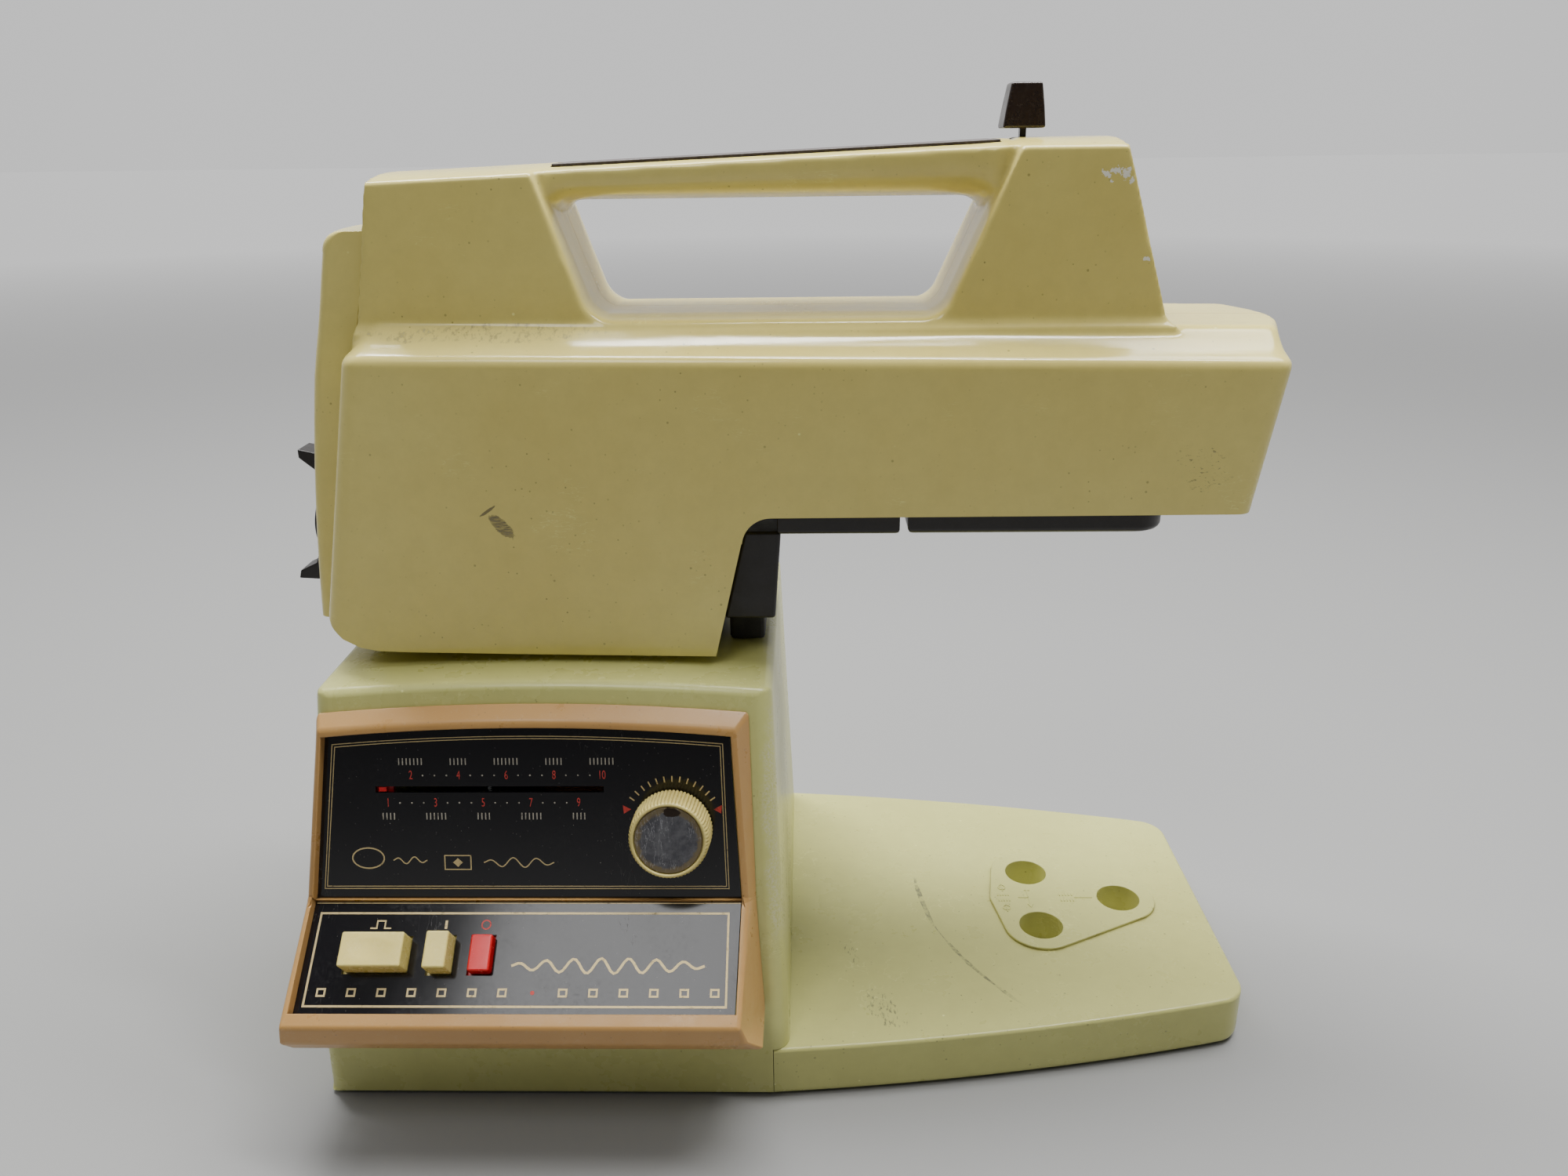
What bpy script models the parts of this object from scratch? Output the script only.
"""Kitchen centre: a motor base with a speed panel and a bowl platform, and a mixer arm that tilts back.

Lengths are in millimetres in the design frame, where x runs right along the platform, y runs away from the
speed panel, z runs up, y = 0 is the arm's centre plane and z = 0 is the base shell's lower edge.
put_away() turns each piece into metres and moves it so that the origin is under the middle of the object.
"""
import math

import bmesh
import bpy
from mathutils import Matrix, Vector

MM = 0.001
DESIGN_TO_PART = Vector((18.2, 15.65, 2.0))
GAP = 0.3
WALL = 3.0
WELD = 0.002
FLAT = math.radians(0.05)

# Base housing: plinth and drive tower
PLINTH_LEFT = -223.0
PLINTH_HALF = 112.5
PLINTH_FRONT_TOP = 47.0
TOWER_FRONT = -110.5
SEAM_X = -17.0
TOWER_LEFT_TOP = -216.5
TOWER_RIGHT = -8.5
TOWER_RIGHT_TOP = -16.0
TOWER_TOP = 187.0
TOWER_ARCH = 4.0
TOWER_LEAN = math.tan(math.radians(14.0))
TOWER_BACK_TOP = 100.0
TOWER_ROUND = 5.0

# Bowl platform
PLATFORM_RIGHT = 208.5
PLATFORM_TOP = 25.0
PLATFORM_END_HALF = 81.0
PLATFORM_BOW_X = -120.0
PLATFORM_CORNER = 15.0
PAD_TOP = 26.5
PAD_MARGIN = 8.0
SOCKET_RADIUS = 11.0
SOCKET_FLOOR = 8.0
SMALL_BOWL = (120.0, 23.4)
LARGE_BOWL_X = 165.4

# Speed panel: the fold line between its two faces, and how far each leans from upright
FOLD = Vector((0.0, -100.5, 97.5))
UPPER_LEAN = math.radians(14.0)
LOWER_LEAN = math.radians(51.7)
PANEL_THICK = 2.1
BEZEL_RIM = 4.8
UPPER_HEIGHT = 74.0
UPPER_ARCH = 4.0
LOWER_HEIGHT = 49.0
KNOB_X = -59.6
KNOB_UP = 32.9
KNOB_RADIUS = 17.7
KNOB_DEPTH = 18.0
POINTER_UP = 50.0
POINTER_X = -186.0
POINTER_TRAVEL = 94.0
BUTTON_MIDDLE = 24.0

# Motor
MOTOR_X = -114.0
SHAFT_RADIUS = 4.0
BUSH_BORE = 4.16

# Mixer arm
ARM_HALF = 54.0
ARM_BOTTOM = 190.0
ARM_SIDE_TOP = 322.0
ARM_TOP = 333.0
ARM_LEFT_AT_TOP = -191.5
ARM_LEFT_SLOPE = -0.2
ARM_RIGHT_AT_TOP = 198.5
ARM_RIGHT_SLOPE = 0.15
ARM_BOW = 7.0
UNDERSIDE = 258.0
POST_HALF = 36.0
HINGE = Vector((-200.0, 0.0, 206.0))
LEVER_PIVOT = Vector((91.0, 0.0, 382.0))
SHAFT_Z = 290.0
SPINDLE_X = 105.0
SPINDLE_Y = 21.0
BEATER_BORE = 3.3
OUTLET = Vector((-225.4, 0.0, 244.0))
OUTLET_LEAN = math.radians(8.0)

X = Vector((1.0, 0.0, 0.0))
Y = Vector((0.0, 1.0, 0.0))
Z = Vector((0.0, 0.0, 1.0))
ZERO = Vector((0.0, 0.0, 0.0))
UPPER_UP = Vector((0.0, math.sin(UPPER_LEAN), math.cos(UPPER_LEAN)))
UPPER_OUT = X.cross(UPPER_UP)
LOWER_UP = Vector((0.0, math.sin(LOWER_LEAN), math.cos(LOWER_LEAN)))
LOWER_OUT = X.cross(LOWER_UP)
OUTLET_OUT = Vector((-math.cos(OUTLET_LEAN), 0.0, math.sin(OUTLET_LEAN)))

COLOURS = {
    "base_cream": ((0.62, 0.63, 0.36), 0.35, 0.0),
    "arm_cream": ((0.66, 0.60, 0.30), 0.3, 0.0),
    "tan_plastic": ((0.36, 0.21, 0.085), 0.4, 0.0),
    "black_panel": ((0.012, 0.010, 0.010), 0.2, 0.0),
    "button_cream": ((0.75, 0.66, 0.34), 0.35, 0.0),
    "red_plastic": ((0.6, 0.02, 0.02), 0.35, 0.0),
    "dark_brown": ((0.02, 0.014, 0.012), 0.4, 0.0),
    "rubber": ((0.015, 0.015, 0.015), 0.8, 0.0),
    "steel": ((0.55, 0.56, 0.58), 0.3, 1.0),
    "bronze": ((0.55, 0.36, 0.16), 0.35, 1.0),
    "copper": ((0.65, 0.28, 0.14), 0.35, 1.0),
    "aluminium": ((0.62, 0.63, 0.65), 0.4, 1.0),
}


def clear_scene():
    for old in list(bpy.data.objects):
        bpy.data.objects.remove(old)


def material(name):
    found = bpy.data.materials.get(name)
    if found:
        return found
    colour, roughness, metallic = COLOURS[name]
    made = bpy.data.materials.new(name)
    made.use_nodes = True
    shader = made.node_tree.nodes["Principled BSDF"]
    shader.inputs["Base Color"].default_value = (*colour, 1.0)
    shader.inputs["Roughness"].default_value = roughness
    shader.inputs["Metallic"].default_value = metallic
    return made


# Building blocks

def solid(points, faces):
    """A closed mesh object in design millimetres, with its faces pointing out."""
    mesh = bpy.data.meshes.new("piece")
    mesh.from_pydata(points, [], faces)
    work = bmesh.new()
    work.from_mesh(mesh)
    bmesh.ops.recalc_face_normals(work, faces=work.faces)
    work.to_mesh(mesh)
    work.free()
    split_bent_faces(mesh)
    made = bpy.data.objects.new("piece", mesh)
    bpy.context.collection.objects.link(made)
    return made


def split_bent_faces(mesh):
    work = bmesh.new()
    work.from_mesh(mesh)
    bmesh.ops.connect_verts_nonplanar(work, faces=work.faces, angle_limit=FLAT)
    work.to_mesh(mesh)
    work.free()


def loft(rings):
    """A solid through rings of the same number of points, closed by a flat face at each end."""
    count = len(rings[0])
    points = [point for ring in rings for point in ring]
    faces = [tuple(range(count)), tuple(range((len(rings) - 1) * count, len(rings) * count))]
    for level in range(len(rings) - 1):
        start = level * count
        for i in range(count):
            j = (i + 1) % count
            faces.append((start + i, start + j, start + count + j, start + count + i))
    return solid(points, faces)


def slab(outline, low, high, origin=ZERO, across=X, up=Y):
    """An outline drawn in the across and up directions, extruded along their cross product."""
    out = across.cross(up)
    rings = [[origin + across * u + up * v + out * h for u, v in outline] for h in (low, high)]
    return loft(rings)


def side_slab(outline, near, far):
    """An (x, z) outline extruded from y = near to y = far."""
    return slab(outline, -far, -near, across=X, up=Z)


def box(low, high):
    outline = [(low[0], low[1]), (high[0], low[1]), (high[0], high[1]), (low[0], high[1])]
    return slab(outline, low[2], high[2])


def rectangle(left, bottom, right, top):
    return [(left, bottom), (right, bottom), (right, top), (left, top)]


def arc(centre, radius, start, end, steps):
    """Points on a circular arc, with both ends, from angles in degrees."""
    angles = [math.radians(start + (end - start) * i / steps) for i in range(steps + 1)]
    return [(centre[0] + radius * math.cos(a), centre[1] + radius * math.sin(a)) for a in angles]


def circle(radius, segments, centre=(0.0, 0.0)):
    return arc(centre, radius, 0.0, 360.0 * (segments - 1) / segments, segments - 1)


def turned(profile, base, axis, segments=16, closed=False):
    """A turned solid: profile holds (radius, height) points; closed joins its ends, for a tube."""
    side = axis.orthogonal().normalized()
    other = axis.cross(side)
    rings = []
    for radius, height in profile:
        rings.append([base + axis * height + side * u + other * v for u, v in circle(radius, segments)])
    if not closed:
        return loft(rings)
    points = [point for ring in rings for point in ring]
    faces = []
    for level in range(len(rings)):
        start = level * segments
        after = (level + 1) % len(rings) * segments
        for i in range(segments):
            j = (i + 1) % segments
            faces.append((start + i, start + j, after + j, after + i))
    return solid(points, faces)


def rod(base, axis, radius, length, segments=16):
    return turned([(radius, 0.0), (radius, length)], base, axis, segments)


def tube(base, axis, inner, outer, length, segments=16):
    profile = [(inner, 0.0), (outer, 0.0), (outer, length), (inner, length)]
    return turned(profile, base, axis, segments, closed=True)


def bake(target):
    """Keeps a piece's evaluated mesh in place of its modifiers."""
    bpy.context.view_layer.update()
    graph = bpy.context.evaluated_depsgraph_get()
    target.data = bpy.data.meshes.new_from_object(target.evaluated_get(graph))
    target.modifiers.clear()
    work = bmesh.new()
    work.from_mesh(target.data)
    bmesh.ops.remove_doubles(work, verts=work.verts, dist=WELD)
    bmesh.ops.dissolve_degenerate(work, edges=work.edges, dist=WELD)
    work.to_mesh(target.data)
    work.free()


def combine(target, others, operation):
    for other in others:
        modifier = target.modifiers.new("combine", "BOOLEAN")
        modifier.object = other
        modifier.operation = operation
        bake(target)
        bpy.data.objects.remove(other)
    return target


def cut(target, *cutters):
    return combine(target, cutters, "DIFFERENCE")


def join(target, *others):
    return combine(target, others, "UNION")


def keep_inside(target, *others):
    return combine(target, others, "INTERSECT")


def soften(target, width, segments=2, angle=35.0):
    modifier = target.modifiers.new("soften", "BEVEL")
    modifier.width = width
    modifier.segments = segments
    modifier.limit_method = "ANGLE"
    modifier.angle_limit = math.radians(angle)
    bake(target)
    split_bent_faces(target.data)
    return target


def put_away(piece, name, finish, pivot=-DESIGN_TO_PART):
    """Names a finished piece, gives it its material and puts its origin on its pivot, in metres."""
    piece.name = name
    piece.data.name = name
    piece.data.transform(Matrix.Scale(MM, 4) @ Matrix.Translation(-pivot))
    piece.location = (pivot + DESIGN_TO_PART) * MM
    piece.data.materials.clear()
    piece.data.materials.append(material(finish))
    piece.data.shade_smooth()
    piece.data.set_sharp_from_angle(angle=math.radians(30.0))
    return piece


# Base housing and platform

def tower_block(inset):
    """The plinth and tower as one convex block, drawn in by inset on every side but the bottom."""
    low = -12.0
    left_low, left_top = PLINTH_LEFT + inset, TOWER_LEFT_TOP + inset
    right_low, right_top = TOWER_RIGHT - inset, TOWER_RIGHT_TOP - inset
    middle, half = (left_top + right_top) / 2, (right_top - left_top) / 2
    top = TOWER_TOP - inset
    arch = [(middle + half * t / 4, top + TOWER_ARCH * (1 - (t / 4) ** 2)) for t in range(4, -5, -1)]
    block = side_slab([(left_low, low), (right_low, low), *arch], -130.0, 130.0)
    front, back = -PLINTH_HALF + inset, PLINTH_HALF - inset
    high = TOWER_TOP + 15.0
    rise = high - PLINTH_FRONT_TOP
    back_top = back - rise * (PLINTH_HALF - TOWER_BACK_TOP) / (TOWER_TOP - PLINTH_FRONT_TOP)
    face = TOWER_FRONT + inset
    ends = [(front, low), (back, low), (back, PLINTH_FRONT_TOP), (back_top, high),
            (face + rise * TOWER_LEAN, high), (face, PLINTH_FRONT_TOP), (front, PLINTH_FRONT_TOP - 4.0)]
    return keep_inside(block, slab(ends, -240.0, 10.0, across=Y, up=Z))


def motor_housing():
    shell = soften(tower_block(0.0), TOWER_ROUND)
    inside = tower_block(WALL)
    foot_wall = box((SEAM_X - WALL, -130.0, -20.0), (0.0, 130.0, PLATFORM_TOP + GAP + WALL))
    cut(inside, foot_wall)
    under = box((-240.0, -130.0, -20.0), (0.0, 130.0, 0.0))
    step = box((SEAM_X, -130.0, -20.0), (10.0, 130.0, PLATFORM_TOP + GAP))
    panel_window = box((-205.0, -140.0, 50.0), (-41.0, -60.0, 168.0))
    drive_hole = rod(Vector((MOTOR_X, 0.0, 150.0)), Z, 24.0, 60.0)
    gland_hole = rod(Vector((-190.0, 90.0, 22.0)), Y, 7.3, 40.0)
    cut(shell, inside, under, step, panel_window, drive_hole, gland_hole)
    for i in range(7):
        left = MOTOR_X - 40.0 + 12.0 * i
        cut(shell, box((left, 90.0, 60.0), (left + 3.0, 130.0, 110.0)))
    for x, y in screw_places():
        join(shell, rod(Vector((x, y, 4.0)), Z, 8.0, 22.0, 16))
        cut(shell, rod(Vector((x, y, 2.0)), Z, 2.1, 18.0, 12))
    put_away(shell, "motor_housing", "base_cream")


def screw_places():
    across = PLINTH_HALF - 10.0
    return [(x, y) for x in (PLINTH_LEFT + 10.0, SEAM_X - 10.0) for y in (-across, across)]


def bottom_plate():
    edge = WALL + 0.6
    plate = box((PLINTH_LEFT + edge, -PLINTH_HALF + edge, 1.0), (SEAM_X - edge, PLINTH_HALF - edge, 3.0))
    for i in range(5):
        cut(plate, box((MOTOR_X - 30.0 + 14.0 * i, -30.0, 0.0), (MOTOR_X - 27.0 + 14.0 * i, 30.0, 5.0)))
    for x, y in screw_places():
        cut(plate, rod(Vector((x, y, 0.0)), Z, 2.3, 5.0, 12))
    put_away(plate, "bottom_plate", "dark_brown")
    for i, (x, y) in enumerate(screw_places(), 1):
        screw = turned([(3.6, -0.9), (3.6, 0.7), (1.8, 0.7), (1.8, 16.0)], Vector((x, y, 0.0)), Z, 8)
        put_away(screw, f"plate_screw_{i}", "steel")


def platform_outline(inset):
    """The platform's plan outline: straight at the seam, then curving in towards its right end."""
    left, right = SEAM_X + GAP, PLATFORM_RIGHT - inset
    corner = PLATFORM_CORNER - min(inset, 6.0)
    straight = right - corner
    start, end = left - PLATFORM_BOW_X, straight - 4.0 - PLATFORM_BOW_X
    count = 8
    edge = []
    for i in range(count + 1):
        reach = start + (end - start) * i / count
        share = (reach ** 2 - start ** 2) / (end ** 2 - start ** 2)
        edge.append((PLATFORM_BOW_X + reach, PLINTH_HALF - inset - (PLINTH_HALF - PLATFORM_END_HALF) * share))
    turn = arc((straight, edge[-1][1] - corner - 1.5), corner, 80.0, 0.0, 4)
    half = edge + turn
    return [(x, -y) for x, y in half] + list(reversed(half))


def hull_outline(circles, steps=32):
    """The outline of a band stretched around circles given as (x, y, radius)."""
    points = sorted(p for x, y, r in circles for p in circle(r, steps, (x, y)))

    def half(ordered):
        chain = []
        for p in ordered:
            while len(chain) > 1:
                (ax, ay), (bx, by) = chain[-2], chain[-1]
                if (bx - ax) * (p[1] - ay) - (by - ay) * (p[0] - ax) > 1e-6:
                    break
                chain.pop()
            chain.append(p)
        return chain[:-1]

    return half(points) + half(list(reversed(points)))


def bowl_sockets():
    return [(SMALL_BOWL[0], SMALL_BOWL[1]), (SMALL_BOWL[0], -SMALL_BOWL[1]), (LARGE_BOWL_X, 0.0)]


def bowl_platform():
    levels = [(0.0, 1.0), (2.0, 0.2), (5.0, 0.0), (PLATFORM_TOP - 2.5, 0.0), (PLATFORM_TOP - 0.8, 0.8),
              (PLATFORM_TOP, 3.0)]
    plate = loft([[(x, y, z) for x, y in platform_outline(inset)] for z, inset in levels])
    cut(plate, slab(platform_outline(WALL + 2.0), -5.0, PLATFORM_TOP - WALL))
    join(plate, box((SEAM_X + GAP, -100.0, 1.0), (SEAM_X + GAP + WALL, 100.0, PLATFORM_TOP - 1.0)))
    rim = SOCKET_RADIUS + PAD_MARGIN
    pad = hull_outline([(x, y, rim) for x, y in bowl_sockets()] + [(101.0, 0.0, 4.0)], 24)
    join(plate, slab(pad, PLATFORM_TOP - 1.0, PAD_TOP))
    for x, y in bowl_sockets():
        height = PLATFORM_TOP - SOCKET_FLOOR + 1.0
        join(plate, rod(Vector((x, y, SOCKET_FLOOR - 3.0)), Z, SOCKET_RADIUS + WALL, height))
    for x, y in bowl_sockets():
        cut(plate, rod(Vector((x, y, SOCKET_FLOOR)), Z, SOCKET_RADIUS, 30.0))
    for y in (-56.0, 56.0):
        join(plate, rod(Vector((178.0, y, 0.5)), Z, 10.0, PLATFORM_TOP - 2.0, 20))
    put_away(plate, "bowl_platform", "base_cream")


def rubber_feet():
    places = {"front_left": (-190.0, -84.0, 0.7), "rear_left": (-190.0, 84.0, 0.7),
              "front_right": (178.0, -56.0, 0.2), "rear_right": (178.0, 56.0, 0.2)}
    for place, (x, y, top) in places.items():
        foot = turned([(7.0, -2.0), (8.0, -1.0), (8.0, top)], Vector((x, y, 0.0)), Z)
        put_away(foot, "foot_" + place, "rubber")


def cord_gland():
    profile = [(3.5, 0.0), (6.9, 0.0), (6.9, 9.0), (9.5, 9.0), (9.0, 12.0), (3.5, 12.0)]
    gland = turned(profile, Vector((-190.0, PLINTH_HALF - 8.5, 22.0)), Y, 16, closed=True)
    put_away(gland, "cord_gland", "rubber")


# Speed panel

def upper_outline(grow):
    """The upper face in (x, height above the fold), with its arched top edge."""
    left_low, left_top, right_low, right_top = -217.4 - grow, -210.0 - grow, -29.8 + grow, -33.9 + grow
    top = UPPER_HEIGHT + grow
    middle, half = (left_top + right_top) / 2, (right_top - left_top) / 2
    arch = [(middle + half * t / 4, top + UPPER_ARCH * (1 - (t / 4) ** 2)) for t in range(4, -5, -1)]
    return [(left_low, 0.9 - grow), (right_low, 0.9 - grow), *arch]


def lower_outline(grow):
    left, low, high = -217.8 - grow, -LOWER_HEIGHT - grow, -1.1 + grow
    return [(left, low), (-31.2 + grow, low), (-29.8 + grow, high), (left, high)]


def button_places():
    """Each button's left, right, height and how far it stands out of the lower face."""
    return {"pulse_button": (-199.6, -172.8, 7.3, 11.0, 4.0), "on_button": (-163.5, -153.8, 7.8, 11.0, 4.0),
            "off_button": (-145.8, -136.4, 7.8, 5.0, 3.0)}


def bezel_section(share):
    """The bezel's section, with share 0 at its left and 1 at its right: up the tower, then down the front."""
    arch = UPPER_ARCH * (1 - (2 * share - 1) ** 2)
    top = FOLD + UPPER_UP * (UPPER_HEIGHT + 3.5 + arch) + UPPER_OUT * BEZEL_RIM
    fold = FOLD + UPPER_OUT * BEZEL_RIM + LOWER_UP * 0.3
    lip = FOLD - LOWER_UP * (LOWER_HEIGHT + 6.5) + LOWER_OUT * (BEZEL_RIM + 0.7)
    rows = [(-223.5, -19.8, *on_tower(PLINTH_FRONT_TOP + 1.0)), (-221.5, -23.0, *on_tower(98.0)),
            (-214.4, -25.3, *on_tower(178.8 + arch)), (-211.9, -31.2, top.y, top.z),
            (-220.2, -26.6, fold.y, fold.z), (-220.8, -28.9, lip.y, lip.z),
            (-222.6, -26.8, lip.y + 1.0, 58.5), (-221.0, -19.8, lip.y + 8.0, 50.0)]
    return [(left + (right - left) * share, y, z) for left, right, y, z in rows]


def on_tower(z):
    """The (y, z) point that far up, just off the tower's front face."""
    return (TOWER_FRONT - GAP + (z - PLINTH_FRONT_TOP) * TOWER_LEAN, z)


def bezel_block(steps):
    """The bezel before its windows are cut: its side walls widen from the front rim to the tower."""
    sections = [bezel_section(i / steps) for i in range(steps + 1)]
    count = len(sections[0])
    faces = []
    for step in range(steps):
        start = step * count
        for i in range(count):
            j = (i + 1) % count
            faces.append((start + i, start + j, start + count + j, start + count + i))
    for start in (0, steps * count):
        for side in ((1, 2, 3, 4), (0, 1, 4, 5), (0, 5, 6, 7)):
            faces.append(tuple(start + i for i in side))
    return solid([point for section in sections for point in section], faces)


def panel_bezel():
    """The tan frame: a block over both faces, with a window for each face plate."""
    block = soften(bezel_block(8), 1.1, 1, 40.0)
    cut(block, slab(upper_outline(GAP), -40.0, 30.0, FOLD, X, UPPER_UP))
    cut(block, slab(lower_outline(GAP), -40.0, 30.0, FOLD, X, LOWER_UP))
    put_away(block, "panel_bezel", "tan_plastic")


def upper_panel():
    plate = slab(upper_outline(0.0), -PANEL_THICK, 0.0, FOLD, X, UPPER_UP)
    knob = FOLD + X * KNOB_X + UPPER_UP * KNOB_UP
    cut(plate, rod(knob - UPPER_OUT * 5.0, UPPER_OUT, 4.0, 10.0))
    slot = rectangle(POINTER_X - 3.0, POINTER_UP - 1.4, POINTER_X + POINTER_TRAVEL + 3.0, POINTER_UP + 1.4)
    cut(plate, slab(slot, -5.0, 5.0, FOLD, X, UPPER_UP))
    put_away(plate, "upper_panel", "black_panel")


def lower_panel():
    plate = slab(lower_outline(0.0), -PANEL_THICK, 0.0, FOLD, X, LOWER_UP)
    for left, right, half, _, _ in button_places().values():
        hole = rectangle(left - 0.8, -BUTTON_MIDDLE - half - 0.8, right + 0.8, -BUTTON_MIDDLE + half + 0.8)
        cut(plate, slab(hole, -5.0, 5.0, FOLD, X, LOWER_UP))
    put_away(plate, "lower_panel", "black_panel")


def push_buttons():
    """Each button is a cap, a flange that holds it behind the plate, and a short stem."""
    for name, (left, right, half, proud, _) in button_places().items():
        middle, low, high = (left + right) / 2, -BUTTON_MIDDLE - half, -BUTTON_MIDDLE + half
        cap = soften(slab(rectangle(left, low, right, high), -5.0, proud, FOLD, X, LOWER_UP), 0.9, 1)
        flange = rectangle(left - 1.8, low - 1.8, right + 1.8, high + 1.8)
        join(cap, slab(flange, -5.0, -PANEL_THICK - GAP, FOLD, X, LOWER_UP))
        stem = rectangle(middle - 3.0, -BUTTON_MIDDLE - 3.0, middle + 3.0, -BUTTON_MIDDLE + 3.0)
        join(cap, slab(stem, -9.0, -4.0, FOLD, X, LOWER_UP))
        finish = "red_plastic" if name == "off_button" else "button_cream"
        put_away(cap, name, finish, FOLD + X * middle - LOWER_UP * BUTTON_MIDDLE)


def switch_block():
    block = slab(rectangle(-203.0, -33.0, -133.0, -13.0), -28.0, -14.0, FOLD, X, LOWER_UP)
    put_away(soften(block, 1.0, 1), "switch_block", "dark_brown")


def speed_control():
    centre = FOLD + X * KNOB_X + UPPER_UP * KNOB_UP
    can = turned([(12.5, -16.0), (13.0, -15.0), (13.0, -4.0)], centre, UPPER_OUT)
    put_away(can, "speed_control_can", "aluminium")
    profile = [(3.0, -3.6), (3.0, 1.0), (KNOB_RADIUS - 0.6, 1.0), (KNOB_RADIUS, 2.0), (KNOB_RADIUS, 15.5),
               (KNOB_RADIUS - 1.2, KNOB_DEPTH), (15.2, KNOB_DEPTH), (14.9, 16.4)]
    put_away(turned(profile, centre, UPPER_OUT, 28), "speed_knob", "button_cream", centre)
    put_away(rod(centre + UPPER_OUT * 16.7, UPPER_OUT, 14.4, 0.9, 28), "knob_cap", "aluminium", centre)


def speed_pointer():
    start = FOLD + X * POINTER_X + UPPER_UP * POINTER_UP
    tip = slab(rectangle(-1.6, -1.0, 1.6, 1.0), -5.0, -0.5, start, X, UPPER_UP)
    join(tip, slab(rectangle(-4.0, -4.0, 4.0, 4.0), -5.0, -PANEL_THICK - GAP, start, X, UPPER_UP))
    put_away(tip, "speed_pointer", "red_plastic", start)


# Motor

def motor():
    """The motor stands upright under the drive hole, between two brackets that carry its bushes."""
    axis_foot = Vector((MOTOR_X, 0.0, 0.0))
    stator = slab(rectangle(MOTOR_X - 44.0, -40.0, MOTOR_X + 44.0, 40.0), 62.0, 108.0)
    soften(stator, 8.0, 1, 60.0)
    cut(stator, rod(axis_foot, Z, 23.3, 150.0, 24))
    put_away(stator, "motor_stator", "steel")
    for name, low in (("field_coil_lower", 50.0), ("field_coil_upper", 108.3)):
        put_away(tube(axis_foot + Z * low, Z, 25.0, 34.0, 11.7, 20), name, "copper")
    armature = [(SHAFT_RADIUS, 16.0), (SHAFT_RADIUS, 54.0), (22.4, 54.0), (22.4, 116.0), (12.0, 116.0),
                (12.0, 132.0), (SHAFT_RADIUS, 132.0), (SHAFT_RADIUS, 186.0)]
    put_away(turned(armature, axis_foot, Z), "armature", "steel", axis_foot + Z * 85.0)
    for name, low in (("lower_bush", 20.0), ("upper_bush", 150.0)):
        put_away(tube(axis_foot + Z * low, Z, BUSH_BORE, 9.0, 9.0), name, "bronze")
    for name, low in (("motor_lower_bracket", 22.0), ("motor_upper_bracket", 152.0)):
        bar = soften(box((MOTOR_X - 60.0, -18.0, low), (MOTOR_X + 60.0, 18.0, low + 5.0)), 2.0, 1)
        cut(bar, rod(axis_foot, Z, 9.5, 200.0))
        put_away(bar, name, "aluminium")
    for name, side in (("motor_tie_rod_left", -52.0), ("motor_tie_rod_right", 52.0)):
        put_away(rod(Vector((MOTOR_X + side, 0.0, 27.3)), Z, 3.0, 124.4, 10), name, "steel")
    fan_and_coupling(axis_foot)


def fan_and_coupling(axis_foot):
    fan = tube(axis_foot + Z * 36.0, Z, SHAFT_RADIUS + GAP, 10.0, 10.0)
    blades = 8
    for i in range(blades):
        turn = Matrix.Rotation(2 * math.pi * i / blades, 3, "Z")
        outline = [(8.0, -1.0), (36.0, -1.0), (36.0, 1.0), (8.0, 1.0)]
        join(fan, slab(outline, 36.5, 45.0, axis_foot, turn @ X, turn @ Y))
    put_away(fan, "motor_fan", "dark_brown", axis_foot + Z * 40.0)
    socket = turned([(SHAFT_RADIUS + GAP, 178.0), (12.0, 178.0), (18.0, 186.5), (18.0, 190.0),
                     (SHAFT_RADIUS + GAP, 190.0)], axis_foot, Z, 20, closed=True)
    for i in range(3):
        join(socket, coupling_dog(axis_foot, 120.0 * i, 189.0, 192.4))
    put_away(socket, "drive_socket", "rubber", axis_foot + Z * 185.0)


def coupling_dog(axis_foot, angle, low, high):
    ring = arc((0.0, 0.0), 16.0, angle - 18.0, angle + 18.0, 4)
    inner = arc((0.0, 0.0), 9.0, angle + 18.0, angle - 18.0, 4)
    return slab(ring + inner, low, high, axis_foot)


# Mixer arm shells

def arm_left(z):
    return ARM_LEFT_AT_TOP + ARM_LEFT_SLOPE * (ARM_TOP - z)


def arm_ring(z, half, inset):
    """The arm's plan outline at one height: rounded left corners and a bowed right end."""
    left = arm_left(z) + inset
    right = ARM_RIGHT_AT_TOP + ARM_RIGHT_SLOPE * (z - 324.0) - inset
    round_left, round_right = 9.0, 7.0
    fall = -0.0115

    def at(x, y):
        drop = fall * x if z > UNDERSIDE + 20.0 else 0.0
        return (x, y, z + drop)

    bow = [(right + ARM_BOW * (1 - (t / 3) ** 2), (half - round_right) * t / 3) for t in range(-2, 3)]
    lower = arc((left + round_left, -half + round_left), round_left, 180.0, 270.0, 3)
    corner = arc((right - round_right, -half + round_right), round_right, 270.0, 360.0, 3)
    mirrored = [(x, -y) for x, y in reversed(lower)], [(x, -y) for x, y in reversed(corner)]
    outline = lower + corner + bow + mirrored[1] + mirrored[0]
    return [at(x, y) for x, y in outline]


def arm_body(inset):
    levels = [(ARM_BOTTOM - 8.0, ARM_HALF, 0.0), (ARM_SIDE_TOP, ARM_HALF, 0.0),
              (ARM_SIDE_TOP + 4.5, ARM_HALF - 2.5, 1.5), (ARM_TOP - 3.5, ARM_HALF - 9.0, 2.5),
              (ARM_TOP, ARM_HALF - 20.0, 4.0)]
    rings = []
    for z, half, draw_in in levels:
        height = z - inset if z > UNDERSIDE else z
        rings.append(arm_ring(height, half - inset, draw_in + inset))
    return loft(rings)


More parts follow.
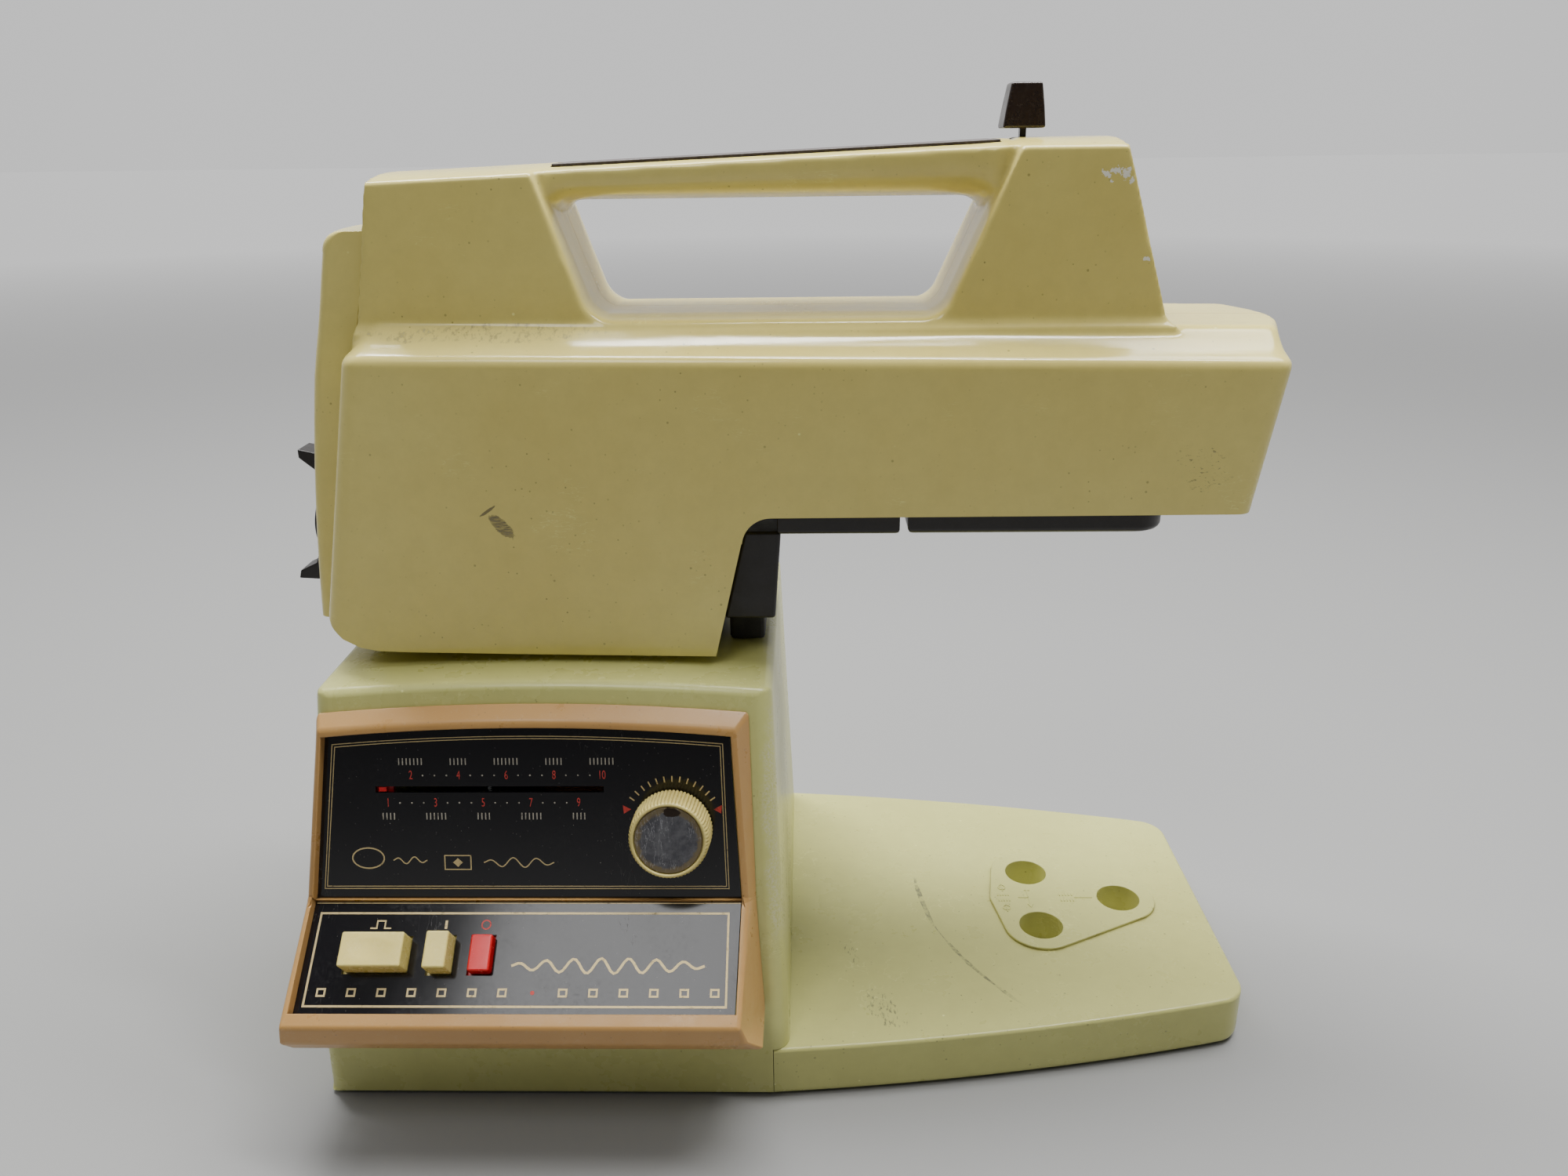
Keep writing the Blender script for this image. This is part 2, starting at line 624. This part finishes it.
def below_arm(grow):
    """The (x, z) region under the leg and under the arm; grow moves it into the arm's walls."""
    leg = [(-41.3 - grow, 193.5), (-28.8 - grow, 246.5)]
    fillet = arc((-15.8, 245.2 + grow), 12.8, 175.0, 90.0, 5)
    under = [(230.0, UNDERSIDE + 0.6 + grow), (230.0, 150.0), (-260.0, 150.0)]
    foot = [(-260.0, 213.0 + grow), (-215.0, 213.0 + grow), (-207.0 + grow, 201.0 + grow),
            (-199.0 + grow, 197.0 + grow), (-100.0, 194.8 + grow), (leg[0][0], 193.6 + grow)]
    shifted = [(x - grow * 0.9, z) for x, z in fillet]
    return foot + leg[1:] + shifted + under


def handle_top(x):
    return min(398.4 + 0.0403 * (x + 168.0), 408.8)


def post_block(inset):
    """The tapering upper body that carries the handle."""
    crest = [(x, handle_top(x) - inset) for x in (124.0 - inset, 90.0, -172.0)]
    outline = [(-192.0 + inset, 322.0), (154.0 - inset, 322.0), (129.5 - inset, 402.0 - inset), *crest,
               (-179.5 + inset, 394.0 - inset)]
    block = side_slab(outline, -50.0, 50.0)
    half = POST_HALF - inset
    section = [(-half - 0.7, 310.0), (half + 0.7, 310.0), (half - 3.0, 420.0), (-half + 3.0, 420.0)]
    return keep_inside(block, slab(section, -220.0, 200.0, across=Y, up=Z))


def handle_hole():
    corners = [((-93.5, 375.5), 10.0, 175.0, 92.0), ((62.5, 376.0), 10.0, 88.0, 5.0),
               ((49.5, 351.5), 11.0, -18.0, -90.0), ((-82.0, 352.0), 12.0, 270.0, 198.0)]
    arcs = [arc(centre, radius, start, end, 3) for centre, radius, start, end in corners]
    return side_slab([point for corner in arcs for point in corner], -60.0, 60.0)


def arm_shell():
    """Both halves in one hollow shell, before the split along the centre plane."""
    body = arm_body(0.0)
    cut(body, side_slab(below_arm(0.0), -70.0, 70.0))
    join(body, soften(post_block(0.0), 4.0, 2, 50.0))
    hollow = arm_body(WALL)
    cut(hollow, side_slab(below_arm(WALL), -70.0, 70.0))
    posts = post_block(WALL)
    cut(posts, box((-110.0, -60.0, 331.0), (83.0, 60.0, 390.0)))
    cut(posts, box((-110.0, -60.0, 394.0), (83.0, 60.0, 420.0)))
    grip_walls = [box((-111.0, side, 380.0), (84.0, side + 30.0, 400.0)) for side in (20.0, -50.0)]
    cut(posts, *grip_walls)
    cut(body, hollow, posts, handle_hole())
    beside_grip = [(-103.0, 384.0), (73.0, 384.0), (76.5, 420.0), (-106.5, 420.0)]
    for side in (28.5, -58.5):
        cut(body, side_slab(beside_grip, side, side + 30.0))
    cut(body, inlay_block(GAP), box((82.0, -2.6, 390.0), (99.5, 2.6, 420.0)))
    cut(body, box((-260.0, -24.0, 150.0), (-157.0, 24.0, 221.0)))
    cut(body, rod(Vector((MOTOR_X, 0.0, 180.0)), Z, 23.0, 26.0))
    cut(body, rod(OUTLET, -OUTLET_OUT, 14.0, 40.0))
    for y in (-SPINDLE_Y, SPINDLE_Y):
        cut(body, rod(Vector((SPINDLE_X, y, 250.0)), Z, 9.0, 16.0))
    return body


def screw_posts():
    return [(-179.0, 300.0), (-62.0, 216.0), (32.0, 306.0), (172.0, 296.0)]


def arm_halves():
    near = arm_shell()
    far = near.copy()
    far.data = near.data.copy()
    bpy.context.collection.objects.link(far)
    for piece, side, name in ((near, -1, "arm_near_half"), (far, 1, "arm_far_half")):
        keep_low, keep_high = sorted((side * GAP / 2, side * 80.0))
        keep_inside(piece, box((-260.0, keep_low, 150.0), (240.0, keep_high, 430.0)))
        out = Y * side
        join(piece, rod(Vector((HINGE.x, side * 25.0, HINGE.z)), out, 7.5, ARM_HALF - 26.5, 20))
        cut(piece, rod(Vector((HINGE.x, side * 20.0, HINGE.z)), out, 3.3, 20.0, 16))
        join(piece, rod(Vector((LEVER_PIVOT.x, side * 6.0, LEVER_PIVOT.z)), out, 4.0, POST_HALF - 8.5, 16))
        cut(piece, rod(Vector((LEVER_PIVOT.x, side * 5.0, LEVER_PIVOT.z)), out, 1.8, 8.0, 12))
        for x, z in screw_posts():
            depth = ARM_HALF - 1.5 if z < ARM_TOP else POST_HALF - 1.5
            join(piece, rod(Vector((x, side * GAP / 2, z)), out, 5.0, depth, 14))
            if side > 0:
                cut(piece, rod(Vector((x, 0.0, z)), out, 2.1, 60.0, 12))
                cut(piece, rod(Vector((x, 12.0, z)), out, 4.0, 60.0, 14))
            else:
                cut(piece, rod(Vector((x, 1.0, z)), out, 1.9, 20.0, 12))
        put_away(piece, name, "arm_cream", HINGE)
    for i, (x, z) in enumerate(screw_posts(), 1):
        screw = turned([(1.6, -16.0), (1.6, 12.3), (3.4, 12.3), (3.4, 15.0)], Vector((x, 0.0, z)), Y, 8)
        put_away(screw, f"arm_screw_{i}", "steel", HINGE)


def inlay_block(grow):
    """The strip let into the top of the handle, following the handle's slope."""
    start, end = -105.0 - grow, 78.0 + grow
    depth = 2.2 + grow
    high = 6.0 if grow else -0.1
    outline = [(start, handle_top(start) - depth), (end, handle_top(end) - depth),
               (end, handle_top(end) + high), (start, handle_top(start) + high)]
    return side_slab(outline, -21.0 - grow, 21.0 + grow)


def cap_face(z):
    """How far left the end cap's outer face is at one height."""
    low, round_start, radius = 206.0, 367.0, 9.0
    rise = min(z, round_start) - low
    x = -225.2 + 0.07 * rise + 0.00046 * rise ** 2
    if z > round_start:
        x += radius - math.sqrt(max(radius ** 2 - (z - round_start) ** 2, 0.0))
    return x


def cap_ring(z, corner_steps):
    """The end cap's plan outline at one height; it narrows where the arm does."""
    half = 36.0 - 3.5 * min(max((z - 318.0) / 24.0, 0.0), 1.0)
    corner, bulge = 5.0, 3.5
    inner, outer = arm_left(z) - 0.8, cap_face(z)
    face = [(outer - bulge * (1 - (t / 2) ** 2), (half - corner) * t / 2) for t in (1, 0, -1)]
    far_corner = arc((outer + corner, half - corner), corner, 90.0, 180.0, corner_steps)
    near_corner = [(x, -y) for x, y in reversed(far_corner)]
    return [(x, y, z) for x, y in [(inner, half), *far_corner, *face, *near_corner, (inner, -half)]]


def end_cap():
    heights = (206.0, 222.0, 246.0, 270.0, 294.0, 318.0, 342.0, 367.0, 370.5, 373.5, 375.4, 375.9)
    cap = loft([cap_ring(z, 2) for z in heights])
    cut(cap, rod(OUTLET + OUTLET_OUT * 20.0, -OUTLET_OUT, 10.5, 60.0))
    put_away(cap, "arm_end_cap", "arm_cream", HINGE)


def accessory_outlet():
    """A driven shaft behind the end cap, with a locking ring that has two finger lugs."""
    put_away(tube(OUTLET, -OUTLET_OUT, BUSH_BORE, 10.0, 9.0), "outlet_bush", "bronze", HINGE)
    profile = [(SHAFT_RADIUS, -7.0), (SHAFT_RADIUS, 96.0), (9.0, 96.0), (9.0, 100.0)]
    shaft = turned(profile, OUTLET, -OUTLET_OUT)
    tang_foot = OUTLET + OUTLET_OUT * 6.5
    tang = slab(rectangle(-3.5, -1.2, 3.5, 1.2), -1.0, 3.0, tang_foot, Y, OUTLET_OUT.cross(Y) * -1.0)
    put_away(join(shaft, tang), "outlet_shaft", "steel", OUTLET)
    start = OUTLET + OUTLET_OUT * 2.4
    band = [(8.0, 0.0), (15.0, 0.0), (15.0, 1.4), (13.5, 2.4), (8.0, 2.4)]
    ring = turned(band, start, OUTLET_OUT, 24, closed=True)
    along = Y.cross(OUTLET_OUT)
    for side in (-1.0, 1.0):
        wing = [(side * 11.0, 0.4), (side * 31.0, 0.4), (side * 32.0, 12.7), (side * 28.0, 12.2),
                (side * 23.0, 4.4), (side * 11.0, 2.2)]
        join(ring, slab(wing, -7.0, 7.0, start, along, OUTLET_OUT))
    put_away(ring, "outlet_lock_ring", "dark_brown", OUTLET)


# Arm trim and underside

def underside_covers():
    low, high = 247.5, UNDERSIDE - 0.4
    rear = soften(box((-13.5, -45.0, low), (40.0, 45.0, high)), 1.2, 1)
    put_away(rear, "rear_underside_cover", "dark_brown", HINGE)
    near_end, far_end = arc((142.0, -31.0), 14.0, 270.0, 360.0, 4), arc((142.0, 31.0), 14.0, 0.0, 90.0, 4)
    plan = [(43.5, -45.0), *near_end, *far_end, (43.5, 45.0)]
    cover = soften(slab(plan, low, high), 1.2, 1, 40.0)
    for y in (-SPINDLE_Y, SPINDLE_Y):
        cut(cover, rod(Vector((SPINDLE_X, y, 240.0)), Z, 9.0, 30.0))
    put_away(cover, "front_underside_cover", "dark_brown", HINGE)
    skirt = side_slab([(-38.0, 206.0), (-15.0, 206.0), (-12.0, 247.2), (-28.2, 247.2)], -40.0, 40.0)
    put_away(soften(skirt, 1.0, 1), "leg_skirt", "dark_brown", HINGE)


def ejector_lever():
    knob = loft([[(LEVER_PIVOT.x + x, y, z) for x, y in rectangle(-w, -d, w, d)]
                 for z, w, d in ((412.2, 8.9, 8.0), (430.0, 6.4, 6.5))])
    soften(knob, 0.8, 1)
    join(knob, box((LEVER_PIVOT.x - 1.3, -1.8, LEVER_PIVOT.z - 20.0), (LEVER_PIVOT.x + 1.3, 1.8, 413.0)))
    join(knob, rod(LEVER_PIVOT - Y * 4.5, Y, 4.5, 9.0, 20))
    cut(knob, rod(LEVER_PIVOT - Y * 10.0, Y, 1.6, 20.0, 16))
    put_away(knob, "ejector_lever", "dark_brown", LEVER_PIVOT)
    put_away(rod(LEVER_PIVOT - Y * 11.0, Y, 1.5, 22.0, 16), "lever_pin", "steel", HINGE)


def hinge():
    """The dark bracket on the tower top, whose two ears carry the tilt pin."""
    base = box((-206.0, -32.0, 190.9), (-158.0, 32.0, 193.4))
    for side in (-1.0, 1.0):
        low, high = sorted((side * 17.0, side * 21.0))
        ear = [(-208.0, 192.0), (-190.0, 192.0), *arc((HINGE.x, HINGE.z), 7.0, 0.0, 180.0, 6)]
        join(base, side_slab(ear, low, high))
    cut(base, rod(HINGE - Y * 40.0, Y, 3.1, 80.0, 20))
    join(base, box((-202.0, -28.0, 186.0), (-160.0, 28.0, 191.5)))
    cut(base, tower_block(-GAP))
    put_away(base, "hinge_bracket", "dark_brown")
    put_away(rod(HINGE - Y * 34.0, Y, 3.0, 68.0, 20), "hinge_pin", "steel", HINGE)


def rest_pad():
    pad = box((-36.5, -24.0, 188.6), (-20.0, 24.0, 205.7))
    put_away(soften(pad, 2.0, 2), "arm_rest_pad", "rubber")


# Arm drive

def bevel_wheel(base, axis, sign, teeth=12):
    """A blunt 45 degree bevel wheel: big end at base, small end 6 mm along the axis."""
    big, small = 13.4, 7.4
    side = axis.orthogonal().normalized()
    other = axis.cross(side)
    rings = []
    for radius, height in ((big, 0.0), (small, 6.0)):
        ring = []
        for i in range(2 * teeth):
            turn = math.pi * (i + 0.5 * sign) / teeth
            reach = radius if i % 2 else radius - 1.6
            ring.append(base + axis * height + side * reach * math.cos(turn) + other * reach * math.sin(turn))
        rings.append(ring)
    return loft(rings)


def input_shaft():
    foot = Vector((MOTOR_X, 0.0, 0.0))
    profile = [(18.0, 194.2), (18.0, 198.0), (SHAFT_RADIUS, 200.0), (SHAFT_RADIUS, 226.0), (5.5, 226.0),
               (5.5, 242.0), (SHAFT_RADIUS, 242.0), (SHAFT_RADIUS, 278.0)]
    shaft = turned(profile, foot, Z)
    for i in range(3):
        join(shaft, coupling_dog(foot, 60.0 + 120.0 * i, 191.2, 196.0))
    join(shaft, bevel_wheel(foot + Z * (SHAFT_Z - 14.0), Z, 0))
    put_away(shaft, "input_shaft", "steel", foot + Z * 240.0)


def arm_shaft():
    start = Vector((MOTOR_X + 10.0, 0.0, SHAFT_Z))
    profile = [(SHAFT_RADIUS, 0.0), (SHAFT_RADIUS, 190.0), (4.6, 190.0), (4.6, 218.0), (3.9, 218.0),
               (3.9, 238.0)]
    shaft = turned(profile, start, X)
    join(shaft, bevel_wheel(Vector((MOTOR_X + 14.0, 0.0, SHAFT_Z)), -X, 1))
    put_away(shaft, "arm_shaft", "steel", start)


def beater_spindles():
    teeth = 14
    for name, y in (("beater_spindle_near", -SPINDLE_Y), ("beater_spindle_far", SPINDLE_Y)):
        foot = Vector((SPINDLE_X, y, 0.0))
        spindle = turned([(7.0, 249.0), (7.0, 260.5), (5.0, 260.5), (5.0, 304.0)], foot, Z)
        rim = []
        for i in range(teeth):
            for reach, shift in ((13.8, -0.32), (15.6, -0.16), (15.6, 0.16), (13.8, 0.32)):
                turn = 2 * math.pi * (i + shift) / teeth
                rim.append((reach * math.cos(turn), reach * math.sin(turn)))
        join(spindle, slab(rim, SHAFT_Z - 5.0, SHAFT_Z + 5.0, foot))
        cut(spindle, rod(foot + Z * 245.0, Z, BEATER_BORE, 18.0, 16))
        put_away(spindle, name, "steel", foot + Z * 275.0)


def gearcase():
    floor = UNDERSIDE + 0.6 + WALL + GAP
    case = box((80.0, -38.0, floor), (130.0, 38.0, 274.0))
    join(case, box((80.0, -14.0, 270.0), (86.0, 14.0, 301.0)))
    join(case, box((124.0, -14.0, 270.0), (130.0, 14.0, 301.0)))
    for y in (-SPINDLE_Y, SPINDLE_Y):
        cut(case, rod(Vector((SPINDLE_X, y, 250.0)), Z, 5.2, 60.0))
    cut(case, rod(Vector((70.0, 0.0, SHAFT_Z)), X, BUSH_BORE, 80.0))
    put_away(case, "gearcase", "aluminium", HINGE)


def leg_frame():
    frame = box((-136.0, -19.0, 203.5), (-82.0, 19.0, 208.0))
    join(frame, box((-88.0, -19.0, 204.0), (-82.0, 19.0, 302.0)))
    input_bore = rod(Vector((MOTOR_X, 0.0, 190.0)), Z, BUSH_BORE, 30.0)
    cut(frame, input_bore, rod(Vector((-95.0, 0.0, SHAFT_Z)), X, BUSH_BORE, 20.0))
    put_away(frame, "leg_frame", "aluminium", HINGE)


clear_scene()
motor_housing()
bottom_plate()
bowl_platform()
rubber_feet()
cord_gland()
panel_bezel()
upper_panel()
lower_panel()
push_buttons()
switch_block()
speed_control()
speed_pointer()
motor()
arm_halves()
end_cap()
accessory_outlet()
underside_covers()
ejector_lever()
hinge()
rest_pad()
input_shaft()
arm_shaft()
beater_spindles()
gearcase()
leg_frame()
put_away(inlay_block(0.0), "handle_inlay", "dark_brown", HINGE)
